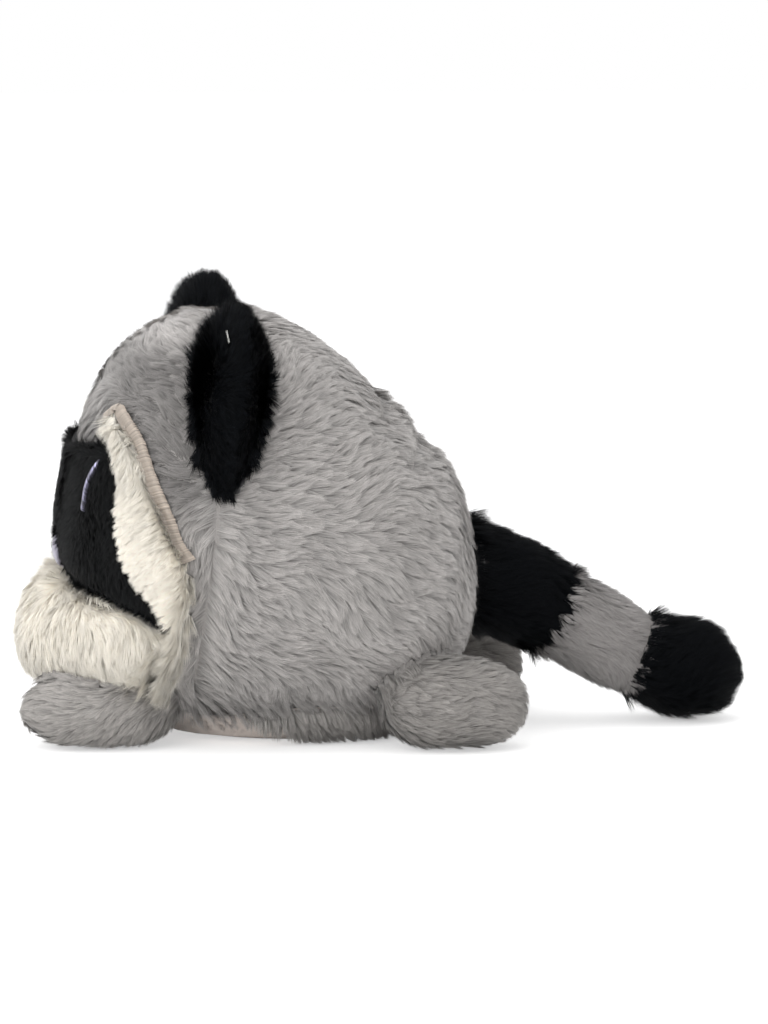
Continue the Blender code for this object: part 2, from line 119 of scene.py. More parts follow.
def plush_pile(name, roughness, lustre, sheen):
    """Polyester pile: no metal, IOR 1.54, and a soft lustre. Each fibre carries its own colour."""
    material = empty_material(name)
    fibre = add_node(material, "ShaderNodeAttribute", {"attribute_name": "fibre"})
    surface = add_node(
        material, "ShaderNodeBsdfPrincipled",
        {
            "Roughness": roughness, "IOR": 1.54, "Specular IOR Level": lustre, "Sheen Weight": sheen,
            "Sheen Roughness": 0.5,
        },
        {"Base Color": (fibre, "Color")},
    )
    add_node(material, "ShaderNodeOutputMaterial", links={"Surface": (surface, "BSDF")})
    return material


def knitted_backing(name, hex_colour, loop=0.0008, depth=0.00015, sheen=0.2):
    """Knitted polyester cloth in rows of loops, the base that pile grows from or a smooth cloth by itself."""
    material = empty_material(name)
    place = add_node(material, "ShaderNodeTexCoord")
    # One loop is about 0.5 mm on the real cloth, and is drawn at 0.6 or 0.8 mm so that it shows.
    rows = add_node(
        material, "ShaderNodeTexWave",
        {"Scale": 0.5 / loop, "Distortion": 1.5, "Detail": 1.0, "bands_direction": "Y"},
        {"Vector": (place, "Object")},
    )
    uneven = add_node(
        material, "ShaderNodeTexNoise", {"Scale": 220.0, "Detail": 3.0}, {"Vector": (place, "Object")},
    )
    light = linear(hex_colour)
    tone = add_node(
        material, "ShaderNodeMix", {"data_type": "RGBA", 6: light, 7: [0.82 * c for c in light]},
        {0: (uneven, "Fac")},
    )
    relief = add_node(material, "ShaderNodeBump", {"Strength": 0.5, "Distance": depth}, {"Height": (rows, "Fac")})
    surface = add_node(
        material, "ShaderNodeBsdfPrincipled",
        {"Roughness": 0.85, "IOR": 1.54, "Specular IOR Level": 0.2, "Sheen Weight": sheen},
        {"Base Color": (tone, 2), "Normal": (relief, "Normal")},
    )
    add_node(material, "ShaderNodeOutputMaterial", links={"Surface": (surface, "BSDF")})
    return material


def unit(vectors):
    return vectors / np.maximum(np.linalg.norm(vectors, axis=1, keepdims=True), 1e-9)


def covered(points, nodes):
    """Which points lie inside one of the nodes."""
    hit = np.zeros(len(points), bool)
    for node in nodes:
        low, high = (np.array(corner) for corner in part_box(node))
        near = np.nonzero(~hit & (points > low).all(axis=1) & (points < high).all(axis=1))[0]
        for i in near:
            point = Vector(points[i])
            place, normal, _, _ = solids[node].find_nearest(point)
            hit[i] = (point - place).dot(normal) < 0
    return hit


# Cloth is sewn to a neighbour where both of these distances out from it lie inside the neighbour, and grows
# into it there. A thin piece gives up a share of its thickness at most.
SEAM_REACHES = (0.0012, 0.0035)
SEAM_GROWTH = 0.0019
THIN_SHARE = 0.42
RAY_START = 0.0003


def cloth_skin(node, material, depth, voxel=0.0, neighbours=()):
    """The cloth of a stuffed piece, under its pile: depth inside the CAD surface, and grown to meet its
    neighbours' cloth where it faces them across a seam. A voxel size gives it even faces."""
    form = welded(node)
    if not voxel:
        bmesh.ops.subdivide_edges(form, edges=form.edges, cuts=1, use_grid_fill=True)
    mesh = bpy.data.meshes.new(node + "_cloth")
    form.to_mesh(mesh)
    form.free()
    piece = bpy.data.objects.new(node + "_cloth", mesh)
    bpy.context.scene.collection.objects.link(piece)
    if voxel:
        remesh = piece.modifiers.new("remesh", "REMESH")
        remesh.mode = "VOXEL"
        remesh.voxel_size = voxel
        smooth = piece.modifiers.new("smooth", "SMOOTH")
        smooth.iterations = 3
        finished = bpy.data.meshes.new_from_object(piece.evaluated_get(bpy.context.evaluated_depsgraph_get()))
        piece.modifiers.clear()
        piece.data = finished
        bpy.data.meshes.remove(mesh)
        mesh = finished
    normals = np.array([vertex.normal for vertex in mesh.vertices])
    points = np.array([vertex.co for vertex in mesh.vertices])
    near, deep = (covered(points + reach * normals, neighbours) for reach in SEAM_REACHES)
    for vertex, normal, sewn in zip(mesh.vertices, normals, near & deep):
        inward = -Vector(normal)
        if sewn:
            vertex.co -= SEAM_GROWTH * inward
            continue
        _, _, _, thickness = solids[node].ray_cast(vertex.co + RAY_START * inward, inward)
        vertex.co += min(depth, THIN_SHARE * (thickness or 0.0)) * inward
    mesh.shade_smooth()
    mesh.materials.clear()
    mesh.materials.append(material)
    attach(piece, "root")
    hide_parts(node)
    return piece


def ripple(points, size, seed):
    """Smooth noise between about -1 and 1 that changes over size metres."""
    rng = np.random.default_rng(seed)
    waves = unit(rng.normal(size=(6, 3))) * rng.uniform(0.6, 1.5, (6, 1)) * 2 * math.pi / size / 2
    return np.sin(points @ waves.T + rng.uniform(0, 2 * math.pi, 6)).sum(axis=1) / 2.4


def roots_in_cloth(rng, skin, strands, depth, keep, under):
    """Places spread evenly over the cloth, and its normals there, apart from where the pile is covered."""
    mesh = skin.data
    mesh.calc_loop_triangles()
    corners = np.array([triangle.vertices[:] for triangle in mesh.loop_triangles])
    points = np.array([vertex.co for vertex in mesh.vertices])
    outward = np.array([vertex.normal for vertex in mesh.vertices])
    a, b, c = (points[corners[:, k]] for k in range(3))
    areas = np.linalg.norm(np.cross(b - a, c - a), axis=1)
    roots, normals = np.empty((0, 3)), np.empty((0, 3))
    for _ in range(8):
        pick = rng.choice(len(corners), size=strands, p=areas / areas.sum())
        u, v = rng.random((2, strands, 1))
        fold = u + v > 1
        u, v = np.where(fold, 1 - u, u), np.where(fold, 1 - v, v)
        at = a[pick] + u * (b - a)[pick] + v * (c - a)[pick]
        up = unit(sum(w * outward[corners[pick, k]] for k, w in enumerate((1 - u - v, u, v))))
        good = np.ones(strands, bool) if keep is None else keep(at, up)
        good &= at[:, 2] + depth * up[:, 2] > FLOOR_GAP
        at, up = at[good], up[good]
        bare = ~covered(at + depth * up, under)
        roots, normals = np.vstack([roots, at[bare]]), np.vstack([normals, up[bare]])
        if len(roots) >= strands:
            break
    return roots[:strands], normals[:strands]


# Tufts and strands differ in length and height, by shares of the whole. The pile waves over two distances, and
# has been stroked lighter and darker in brushed patches. At a border it is trimmed a little unevenly.
STRAND_LENGTHS = (0.75, 1.1)
STRAND_WIDTHS = (0.7, 1.3)
TUFT_MIDDLE = 0.95
TUFT_LENGTH_SCATTER = 0.08
TUFT_HEIGHT_SCATTER = 0.14
TUFT_TONE_SCATTER = 0.05
BRUSHED_PATCH = 0.012
WAVE = 0.018
FINE_WAVE = 0.006
TRIM_SHARES = (0.8, 0.6, 0.4, 0.2)
TRIM_RAGGED = (0.3, 1.15)
TRIM_DEPTH = 0.001
FLOOR_GAP = 0.0004


def plant_pile(
    name, skin, slot, material, strands, length, depth, comb, fibre, keep=None, under=(), borders=(),
    overlap=0.0015, hang=None, lift=None, grow=None, shade=None, seed=1, width=0.00026, per_tuft=26, gather=0.5,
    wander=0.3, spread=0.12, painted_root_shade=0.75, streak=0.12, roundness=0.069,
):
    """Pile as thin strands that taper to a point, rooted in the cloth and combed over it, gathered into tufts.

    These give a value for each point: comb the direction the pile is swept in, keep whether there is pile, hang
    how far it hangs free of the cloth, lift and grow how many times depth and length it has, and shade how light
    it is. Pile is trimmed where it has crossed a border by overlap, and bends round a form of radius roundness."""
    rng = np.random.default_rng(seed)
    roots, normals = roots_in_cloth(rng, skin, strands, depth, keep, under)
    count = len(roots)

    # Tufts: each strand leans to the tip of the strand in the middle of its tuft.
    centres = rng.choice(count, size=max(1, count // per_tuft), replace=False)
    tree = KDTree(len(centres))
    for i, centre in enumerate(centres):
        tree.insert(roots[centre], i)
    tree.balance()
    tuft = np.array([tree.find(root)[1] for root in roots])

    def by_tuft(middle, scatter):
        return rng.normal(middle, scatter, len(centres))[tuft]

    free = unit(comb(roots))
    swept = unit(free - (free * normals).sum(axis=1, keepdims=True) * normals)
    if hang is not None:
        loose = hang(roots)[:, None]
        swept = unit(swept * (1 - loose) + free * loose)
    across = unit(np.cross(swept, normals))
    turn = wander * (ripple(roots, WAVE, seed + 1) + 0.5 * ripple(roots, FINE_WAVE, seed + 2))
    turn = (turn + by_tuft(0, spread) + rng.normal(0, 0.8 * spread, count))[:, None]
    swept = unit(swept * np.cos(turn) + across * np.sin(turn))

    full = (length * by_tuft(TUFT_MIDDLE, TUFT_LENGTH_SCATTER) * rng.uniform(*STRAND_LENGTHS, count))[:, None]
    if grow is not None:
        full = full * grow(roots)[:, None]
    reach = full
    ragged = overlap * rng.uniform(*TRIM_RAGGED, (count, 1))
    for share in TRIM_SHARES if borders else ():
        crossed = covered(roots + swept * full * share - normals * TRIM_DEPTH, borders)[:, None]
        reach = np.where(crossed, np.minimum(reach, full * share + ragged), reach)
    raised = (depth * by_tuft(TUFT_MIDDLE, TUFT_HEIGHT_SCATTER) * rng.uniform(*STRAND_LENGTHS, count))[:, None]
    if lift is not None:
        raised = raised * lift(roots)[:, None]
    tips = roots + swept * reach + normals * (raised - reach**2 / (2 * roundness))
    tips = tips + gather * rng.uniform(0.5, 1.0, (count, 1)) * (tips[centres][tuft] - tips)

    twist = rng.uniform(-0.5, 0.5, (count, 1))
    side = unit(np.cross(swept, normals)) * np.cos(twist) + normals * np.sin(twist)
    half = 0.5 * side * width * rng.uniform(*STRAND_WIDTHS, (count, 1))
    tilt = rng.normal(0, 0.12, (count, 1)) + by_tuft(0, 0.10)[:, None]
    tone = (1 + 0.05 * ripple(roots, BRUSHED_PATCH, seed + 3)) * by_tuft(1, TUFT_TONE_SCATTER)
    tone = tone * rng.lognormal(0, streak, count)
    if shade is not None:
        tone = tone * shade(roots)
    colour = tone[:, None] * np.array(linear(fibre)[:3])

    # A strand is one triangle, with two corners at its root and one at its tip, and is lit as the cloth is.
    root_facing = unit(normals - 0.1 * swept + tilt * side)
    tip_facing = unit(normals + 0.15 * swept + tilt * side)
    facing = np.stack([root_facing, root_facing, tip_facing], axis=1).reshape(-1, 3)
    places = np.stack([roots - half, roots + half, tips], axis=1).reshape(-1, 3)
    places[:, 2] = np.maximum(places[:, 2], 0.0005)
    opaque = np.ones((count, 1))
    # The roots are painted darker, as painted shade deep in the pile, and the tips a little lighter, as painted light
    # on the pile's surface.
    shades = np.stack([np.hstack([lit * colour, opaque]) for lit in (painted_root_shade, painted_root_shade, 1.05)], axis=1)

    pile = bpy.data.meshes.new(name)
    pile.from_pydata(places, [], np.arange(3 * count).reshape(-1, 3))
    pile.shade_smooth()
    fibres = pile.attributes.new("fibre", "FLOAT_COLOR", "POINT")
    fibres.data.foreach_set("color", shades.astype(np.float32).ravel())
    pile.normals_split_custom_set_from_vertices(facing)
    pile.materials.append(material)
    piece = bpy.data.objects.new(name, pile)
    bpy.context.scene.collection.objects.link(piece)
    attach(piece, "root")
    return piece


def directions(points, *columns):
    """One direction per point, from three columns that are each a number or a value per point."""
    return np.stack([np.broadcast_to(column, len(points)) for column in columns], axis=1).astype(float)


def ramp(values, start, end):
    """0 before start, 1 after end, smooth between them."""
    t = np.clip((values - start) / (end - start), 0, 1)
    return t * t * (3 - 2 * t)


def between(values, rise, fall):
    """0 outside two ranges, 1 between them, smooth over each of them."""
    return ramp(values, *rise) * (1 - ramp(values, *fall))


def seam_y(z):
    """How far back the seam between the front and the back panel lies at a height."""
    return SEAM_Y + SEAM_LEAN * (z - STUFFING_MIDDLE.z)


def back_comb(p):
    """Rearwards, fanned out from the crease, and down at the hem."""
    low = 1 - ramp(p[:, 2], *HEM_TURN)
    return directions(p, 0.25 * low * np.sign(p[:, 0]), 1 - 0.6 * low, (p[:, 2] - BACK_FAN_HEIGHT) * 12 - 0.8 * low)


def front_comb(p):
    """Forwards to the face, fanned out from the end of the crease, and down over the forehead to the mask."""
    y, z = p[:, 1], p[:, 2]
    down = (ramp(-y, *FOREHEAD_FRONT) * ramp(z, *FOREHEAD_BOTTOM) * (1 - ramp(z, *FOREHEAD_TOP)))[:, None]
    fan = unit(directions(p, 0.0, y - CREASE_END[0], z - CREASE_END[1]))
    return fan * (1 - down) + directions(p, 0.0, -0.4, -1.0) * down


def hem_hang(p):
    """The pile hangs free of the cloth along the hem."""
    return 1 - ramp(p[:, 2], *HEM_LOOSE)


def long_hem(p):
    """Longer pile along the hem, most of all towards the hind feet."""
    return 1 + 0.5 * (1 - ramp(p[:, 2], *HEM_LONG)) * (0.4 + 0.6 * ramp(p[:, 1], *HEM_REAR))


def painted_shade_before_ears_and_mask(p):
    """Painted shade: the pile's colour is darker in front of each ear, where the ear shades it, and over the mask."""
    y, z = p[:, 1], p[:, 2]
    before_ears = 0.52 * between(y, *BEFORE_EARS) * between(z, *BEFORE_EARS_HEIGHT)
    over_mask = 0.35 * ramp(-y, *OVER_MASK_FRONT) * (1 - ramp(z, *OVER_MASK_TOP))
    return 1 - before_ears - over_mask


sewn_on = [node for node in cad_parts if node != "body"]
grey_backing = knitted_backing("grey_knitted_backing", GREY_BACKING)
grey_pile = plush_pile("grey_polyester_pile", 0.8, 0.15, 0.25)
body_cloth = cloth_skin("body", grey_backing, GREY_PILE_DEPTH, voxel=0.0022)
GREY_PILE = dict(
    length=GREY_PILE_LENGTH, depth=GREY_PILE_DEPTH, fibre=GREY_FIBRE, hang=hem_hang, grow=long_hem, width=0.00022,
    under=sewn_on, borders=[node for node in sewn_on if not node.startswith("hind_foot")], per_tuft=34, gather=0.75,
    painted_root_shade=0.5, wander=0.4,
)
for side, sign in (("left", 1), ("right", -1)):
    plant_pile(
        "back_pile_" + side, body_cloth, "grey_plush", grey_pile, strands=130000, comb=back_comb, seed=10 + sign,
        keep=lambda p, up: (p[:, 1] > seam_y(p[:, 2])) & (p[:, 0] * sign > 0), **GREY_PILE,
    )
# The front pile's colour carries painted shade in front of the ears and over the mask.
plant_pile(
    "front_pile", body_cloth, "grey_plush", grey_pile, strands=85000, comb=front_comb, seed=14,
    shade=painted_shade_before_ears_and_mask, overlap=FRONT_OVERLAP,
    keep=lambda p, up: (p[:, 1] < seam_y(p[:, 2])) & (p[:, 2] > HEM_HEIGHT), **GREY_PILE,
)

# Belly panel: smooth beige polyester tricot without pile, sewn in under the body between the feet, where
# the toy's weight presses it flat. It shows as a pale strip under the hem.
# The tricot's colour is painted lighter than the cloth, as painted light from the pale floor under it.
BEIGE_TRICOT = "#FBEFE6"
# The fringe's fibre is painted darker than the body's, as painted shade along the bottom of the hem.
FRINGE_SHADED_FIBRE = "#BCB8B4"
# Where the panel starts to show below the fringe: how far back, and how high.
FRINGE_LINE = ((-0.039, 0.0145), (-0.027, 0.0130), (-0.0136, 0.0114), (0.0015, 0.0072), (0.008, 0.0010))
FRINGE_LOOSE = 0.8
beige_tricot = knitted_backing("beige_polyester_tricot", BEIGE_TRICOT, loop=0.0006, depth=0.0001, sheen=0.3)
base_cloth = cloth_skin("base_panel", beige_tricot, depth=0.0002)
plant_pile(
    "hem_fringe", base_cloth, "grey_plush", grey_pile, strands=30000, length=0.0060, depth=0.0022,
    comb=lambda p: directions(p, 0.5 * np.sign(p[:, 0]), 0.25, -1.0), fibre=FRINGE_SHADED_FIBRE, seed=20,
    keep=lambda p, up: (p[:, 2] > np.interp(p[:, 1], *zip(*FRINGE_LINE))) & (up[:, 2] < 0.4),
    hang=lambda p: np.full(len(p), FRINGE_LOOSE), per_tuft=30, gather=0.6, painted_root_shade=0.7, wander=0.4,
)

# Tail: a stuffed tube of three plush bands sewn end to end, long black pile, shorter grey pile and a round
# black tip, with its root sewn shut against the rump.
BLACK_FIBRE = "#0B0D10"
# The backing is painted darker than the fibre, as painted shade deep under the pile.
BLACK_BACKING = "#050506"
# The tail's grey is painted darker than the body's, as painted shade on the rear of the toy.
TAIL_SHADED_GREY_FIBRE = "#A9A5A3"
# Each band's heading in degrees above level, and the length and depth of its pile.
TAIL_BANDS = {
    "tail_root_band": (-19.0, 0.0085, 0.0030),
    "tail_middle_band": (-32.0, 0.0065, 0.0022),
    "tail_tip": (2.0, 0.0085, 0.0030),
}
# A band's flat ends have no pile: there the cosine between the cloth's normal and the heading is larger.
FLAT_END = 0.75
TAIL_CLOTH_DEPTH = 0.0022
black_backing = knitted_backing("black_knitted_backing", BLACK_BACKING)
black_pile = plush_pile("black_polyester_pile", 0.6, 0.05, 0.0)
for node, (heading, length, depth) in TAIL_BANDS.items():
    grey = node == "tail_middle_band"
    bands = [other for other in TAIL_BANDS if other != node]
    slot, backing, material, fibre = (
        ("grey_plush", grey_backing, grey_pile, TAIL_SHADED_GREY_FIBRE) if grey
        else ("black_plush", black_backing, black_pile, BLACK_FIBRE)
    )
    skin = cloth_skin(node, backing, TAIL_CLOTH_DEPTH, voxel=0.0016, neighbours=[*bands, "body"])
    angle = math.radians(heading)
    along = np.array((0.0, math.cos(angle), math.sin(angle)))
    plant_pile(
        node + "_pile", skin, slot, material, strands=30000, length=length, depth=depth,
        comb=lambda p: directions(p, *along), fibre=fibre,
        under=[*bands, "body"], seed=60 + int(heading), wander=0.45, per_tuft=14, gather=0.35, borders=bands,
        overlap=0.0014, roundness=0.06,
        keep=lambda p, up: (up @ along > -FLAT_END) & ((up @ along < FLAT_END) | (node == "tail_tip")),
    )

# Feet: four short stuffed feet of the grey plush, sewn under the body, their pile swept towards the toes. Its
# colour is painted a little darker than the body's as painted shade, most of all on the hind feet and darkest on
# the far hind foot. A foot's toes point forwards or back.
FEET = {
    "front_foot_left": (-1, 31, "#BDB9B5"), "front_foot_right": (-1, 32, "#BDB9B5"),
    "hind_foot_left": (1, 33, "#B1ADA9"), "hind_foot_right": (1, 34, "#A39F9B"),
}
BESIDE_FEET = ("body", "muzzle", "base_panel", "brow_patch_left", "brow_patch_right")
for node, (toes, seed, fibre) in FEET.items():
    skin = cloth_skin(
        node, grey_backing, depth=0.0020, voxel=0.0016, neighbours=BESIDE_FEET,
    )
    plant_pile(
        node + "_pile", skin, "grey_plush", grey_pile, strands=24000, length=0.0062, depth=0.0016,
        comb=lambda p: directions(p, 0.0, toes, -0.45), fibre=fibre, under=BESIDE_FEET, borders=("muzzle",),
        seed=seed, wander=0.5, per_tuft=30, gather=0.7, painted_root_shade=0.55, roundness=0.028,
    )

# Ears: two half-round stuffed ears of the long black plush, sewn into the seam between the body's panels.
# Their pile stands out from the middle of the ear all round.
EAR_TOP = (0.112, 0.134)
EAR_REAR = (-0.022, -0.008)


def ear_lift(p):
    """Twice as high at the top of the ear, but less so at its rear."""
    return 1 + 1.1 * ramp(p[:, 2], *EAR_TOP) * (1 - 0.6 * ramp(p[:, 1], *EAR_REAR))


for side, seed in (("left", 41), ("right", 42)):
    node = "ear_" + side
    skin = cloth_skin(
        node, black_backing, depth=0.0030, voxel=0.0016, neighbours=("body",),
    )
    middle = (np.array(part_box(node)[0]) + np.array(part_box(node)[1])) / 2
    middle[0] *= 0.8
    plant_pile(
        node + "_pile", skin, "black_plush", black_pile, strands=38000, length=0.0050, depth=0.0028,
        comb=lambda p: (p - middle) * (0.6, 1, 1) + (0, 0.004, 0), fibre=BLACK_FIBRE, under=("body",),
        seed=seed, wander=0.3, per_tuft=10, gather=0.15, spread=0.2, roundness=0.012,
        streak=0.5, lift=ear_lift,
    )

# Tag pin: a T-shaped pin of clear nylon, a few millimetres long, left in the near ear where a tag was cut off.
PIN_PLACE = Vector((0.0745, -0.0203, 0.1365))
PIN_BAR_LENGTH = 0.0048
PIN_BAR_RADIUS = 0.000315
PIN_BAR_CLEARANCE = 0.0012
PIN_STEM_RADIUS = 0.00027
PIN_STEM_ENDS = (-0.004, 0.001, 0.0022)
clear_nylon = empty_material("clear_nylon")
# Moulded nylon: clear with a milky touch, IOR 1.53, glossy.
moulded = add_node(
    clear_nylon, "ShaderNodeBsdfPrincipled",
    {"Base Color": linear("#F4F4F0"), "Roughness": 0.12, "IOR": 1.53, "Transmission Weight": 0.75},
)
add_node(clear_nylon, "ShaderNodeOutputMaterial", links={"Surface": (moulded, "BSDF")})


def nylon_rod(name, route, radius):
    """A round nylon rod along a few points."""
    line = bpy.data.curves.new(name, "CURVE")
    line.dimensions = "3D"
    line.bevel_depth = radius
    line.bevel_resolution = 3
    line.use_fill_caps = True
    spline = line.splines.new("NURBS")
    spline.points.add(len(route) - 1)
    for point, place in zip(spline.points, route):
        point.co = (*place, 1.0)
    spline.order_u = 3
    spline.use_endpoint_u = True
    line.materials.append(clear_nylon)
    rod = bpy.data.objects.new(name, line)
    bpy.context.scene.collection.objects.link(rod)
    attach(rod, "root")


on_ear, out, _, _ = solids["ear_left"].ray_cast(PIN_PLACE + Vector((0.06, 0, 0)), Vector((-1, 0, 0)))
out = out.normalized()
hanging = Vector((0, 0.15, -1))
hanging = (hanging - hanging.dot(out) * out).normalized()
bar = [on_ear + PIN_BAR_CLEARANCE * out + t * PIN_BAR_LENGTH * hanging for t in (-0.5, -0.2, 0.2, 0.5)]
stem = [on_ear + height * out for height in PIN_STEM_ENDS]
stem[-1] += 0.0005 * hanging
nylon_rod("tag_pin_bar", bar, PIN_BAR_RADIUS)
nylon_rod("tag_pin_stem", stem, PIN_STEM_RADIUS)

# Muzzle: a stuffed snout of long cream plush that runs back under the mask to both cheeks, brushed out
# from the nose.
CREAM_FIBRE = "#F8F3E8"
# The backing is painted a little darker than the fibre, as painted shade deep under the pile.
CREAM_BACKING = "#EFE9DE"
# The seam with the mask as bearings from the middle of the stuffing: degrees to the side, and up.
MASK_SEAM = ((0.0, -7.4), (38.7, -10.7), (47.0, -12.8), (57.4, -17.4))
NOSE_PLACE = (0.0, -0.098, 0.080)
UNDER_NOSE = (0.012, 0.024)
MUZZLE_BOTTOM = (0.022, 0.036)
MUZZLE_REAR = (-0.060, -0.044)
cream_backing = knitted_backing("cream_knitted_backing", CREAM_BACKING)
cream_pile = plush_pile("cream_polyester_pile", 0.9, 0.1, 0.4)


def bearings(p):
    """Degrees to the side of straight ahead, and up, as seen from the middle of the stuffing."""
    x, y, z = (p - np.array(STUFFING_MIDDLE)).T
    return np.degrees(np.arctan2(np.abs(x), -y)), np.degrees(np.arctan2(z, np.hypot(x, y)))


def below_mask(p):
    """1 along the seam with the mask, where the muzzle's pile stands up, and 0 from 5 degrees below it."""
    aside, up = bearings(p)
    return ramp(up - np.interp(aside, *zip(*MASK_SEAM)), -5.0, -0.5)


def muzzle_comb(p):
    """Out from the nose and down, and forwards and up just under the nose."""
    under_nose = (below_mask(p) * (1 - ramp(np.abs(p[:, 0]), *UNDER_NOSE)))[:, None]
    out = unit((p - NOSE_PLACE) * (0.6, 0.5, 1))
    return out * (1 - under_nose) + directions(p, 0.0, -0.8, 0.7) * under_nose


def muzzle_lift(p):
    """Flatter underneath, and higher along the seam with the mask."""
    return 0.7 + 0.3 * ramp(p[:, 2], *MUZZLE_BOTTOM) + 0.35 * below_mask(p)


def long_cheeks(p):
    """Longer pile at the muzzle's rear ends, where it meets the cheeks."""
    return 1 + 0.5 * ramp(p[:, 1], *MUZZLE_REAR)


muzzle_cloth = cloth_skin("muzzle", cream_backing, depth=0.0024, neighbours=("body",))
FRONT_FEET = ("front_foot_left", "front_foot_right")
BROWS = ("brow_patch_left", "brow_patch_right")
plant_pile(
    "muzzle_pile", muzzle_cloth, "cream_plush", cream_pile, strands=80000, length=0.0080, depth=0.0022,
    comb=muzzle_comb, fibre=CREAM_FIBRE,
    under=("body", "face_mask", *BROWS, "nose_embroidery", *FRONT_FEET), seed=50, per_tuft=40, wander=0.5,
    painted_root_shade=0.94, gather=0.4, roundness=0.026, streak=0.04, borders=("face_mask", *FRONT_FEET),
    lift=muzzle_lift, grow=long_cheeks,
)

# Face mask: one panel of short black plush from cheek to cheek, sewn between the brows and the muzzle. Its pile
# lies downwards, and stands up in tufts along the top edge.
MASK_FIBRE = "#121314"
# Degrees above the middle of the stuffing.
MASK_TOP = (23.5, 27.0)
short_black_pile = plush_pile("short_black_polyester_pile", 0.6, 0.10, 0.0)


def mask_top(p):
    """1 along the mask's top edge, and 0 from 4 degrees below it."""
    return ramp(bearings(p)[1], *MASK_TOP)


def mask_comb(p):
    """Down over the mask, and up along its top edge."""
    return directions(p, 0.0, -0.3 - 0.3 * mask_top(p), -1.0 + 1.6 * mask_top(p))


mask_cloth = cloth_skin("face_mask", black_backing, depth=0.0012, neighbours=("body",))
plant_pile(
    "face_mask_pile", mask_cloth, "black_plush", short_black_pile, strands=42000, length=0.0040, depth=0.0015,
    comb=mask_comb, fibre=MASK_FIBRE,
    lift=lambda p: 1 + 0.8 * mask_top(p), under=("body", *BROWS, "muzzle", "nose_embroidery"), seed=60, per_tuft=12,
    wander=0.6, spread=0.3, gather=0.4, streak=0.4,
)

# Brows and cheeks: a strip of long cream plush on each side, from above the eye down to the front foot. Its
# pile is swept forward over the edge of the mask, and stops at the stitching behind it.
ABOVE_EYE = (0.075, 0.100)
CHEEK = (0.038, 0.056)
# The middle of the stitching down the side, as bearings like the mask's seam, and how far pile runs under it.
STITCH_COVER = 0.4
STITCH_SIDE = ((34.6, 37.2), (45.2, 30.4), (50.6, 23.0), (56.9, 12.5), (59.8, 6.0), (63.2, 1.4))


def cheek(p):
    """1 low on the cheek, where the brow strip runs down beside the muzzle, and 0 above it."""
    return 1 - ramp(p[:, 2], *CHEEK)


def brow_comb(p):
    """Forwards over the mask, more downwards above the eye and on the cheek."""
    above = ramp(p[:, 2], *ABOVE_EYE)
    return directions(p, 0.0, -1.0 + 0.75 * above + 0.1 * cheek(p), -0.5 - 0.5 * above - 0.3 * cheek(p))


def brow_face(p, up):
    """The brow's outer face, in front of the stitching, and its rear side below that, but not its front side."""
    aside, raised = bearings(p)
    left, height = zip(*STITCH_SIDE[::-1])
    stitched = (raised > height[0]) & (aside > np.interp(raised, height, left) + STITCH_COVER)
    outwards = (unit(p - np.array(STUFFING_MIDDLE)) * up).sum(axis=1) > 0.6
    return (outwards | (up[:, 1] > 0.3)) & ~stitched


for side, seed in (("left", 70), ("right", 71)):
    node = "brow_patch_" + side
    skin = cloth_skin(node, cream_backing, depth=0.0020, neighbours=("body",))
    plant_pile(
        node + "_pile", skin, "cream_plush", cream_pile, strands=32000, length=0.0064, depth=0.0022,
        comb=brow_comb, fibre=CREAM_FIBRE,
        under=("body", "brow_stitching_" + side, "muzzle", "front_foot_" + side), seed=seed, per_tuft=40, wander=0.25,
        painted_root_shade=0.9, gather=0.45, borders=("face_mask", "front_foot_" + side), overlap=0.0012, keep=brow_face,
        streak=0.04, lift=lambda p: 1 + 0.6 * cheek(p), grow=lambda p: 1 + 0.5 * cheek(p),
    )

# Brow stitching: a satin stitch border of beige polyester thread round the back of each brow, sewn by machine
# over 3 mm of the cloth's edge. Its threads lie side by side across the border and end 0.5 mm beyond it.
BEIGE_THREAD = "#A99D91"
STITCH_WIDTH = 0.0040
STITCH_PITCH = 0.00042
STITCH_CAP = ((28.4, 34.6), (31.6, 36.2), (34.6, 37.2))
# A thread's round upper side in degrees, how deep its ends are tucked in, and how wide they are there.
THREAD_PROFILE = [math.radians(angle) for angle in (-20, 50, 90, 130, 200)]
THREAD_TUCK = 0.0009
THREAD_END_WIDTH = 0.6
# A border's line is measured in steps, and its direction is taken over a span of them to each side.
LINE_STEPS = 900
LINE_SPAN = 60


def towards(left, up):
    """The direction from the middle of the stuffing at a bearing, in degrees left of straight ahead, and up."""
    left, up = math.radians(left), math.radians(up)
    return Vector((math.cos(up) * math.sin(left), -math.cos(up) * math.cos(left), math.sin(up)))


def on_face(nodes, direction):
    """Where a direction from the middle of the stuffing leaves the first of the nodes that it meets, or the body."""
    for node in (*nodes, "body"):
        place = solids[node].ray_cast(STUFFING_MIDDLE + 0.2 * direction, -direction)[0]
        if place:
            return place
    raise ValueError("no surface towards " + str(direction))


def satin_thread(name):
    """Trilobal polyester embroidery thread: a fine twist with a silky lustre."""
    material = empty_material(name)
    tone = add_node(material, "ShaderNodeAttribute", {"attribute_name": "fibre"})
    place = add_node(material, "ShaderNodeTexCoord")
    # The twist repeats every 0.3 mm or so along the thread.
    twist = add_node(
        material, "ShaderNodeTexNoise", {"Scale": 2600.0, "Detail": 1.0}, {"Vector": (place, "Object")},
    )
    relief = add_node(material, "ShaderNodeBump", {"Strength": 0.4, "Distance": 0.0001}, {"Height": (twist, "Fac")})
    surface = add_node(
        material, "ShaderNodeBsdfPrincipled",
        {"Roughness": 0.35, "IOR": 1.54, "Specular IOR Level": 0.6, "Sheen Weight": 0.3},
        {"Base Color": (tone, "Color"), "Normal": (relief, "Normal")},
    )
    add_node(material, "ShaderNodeOutputMaterial", links={"Surface": (surface, "BSDF")})
    return material


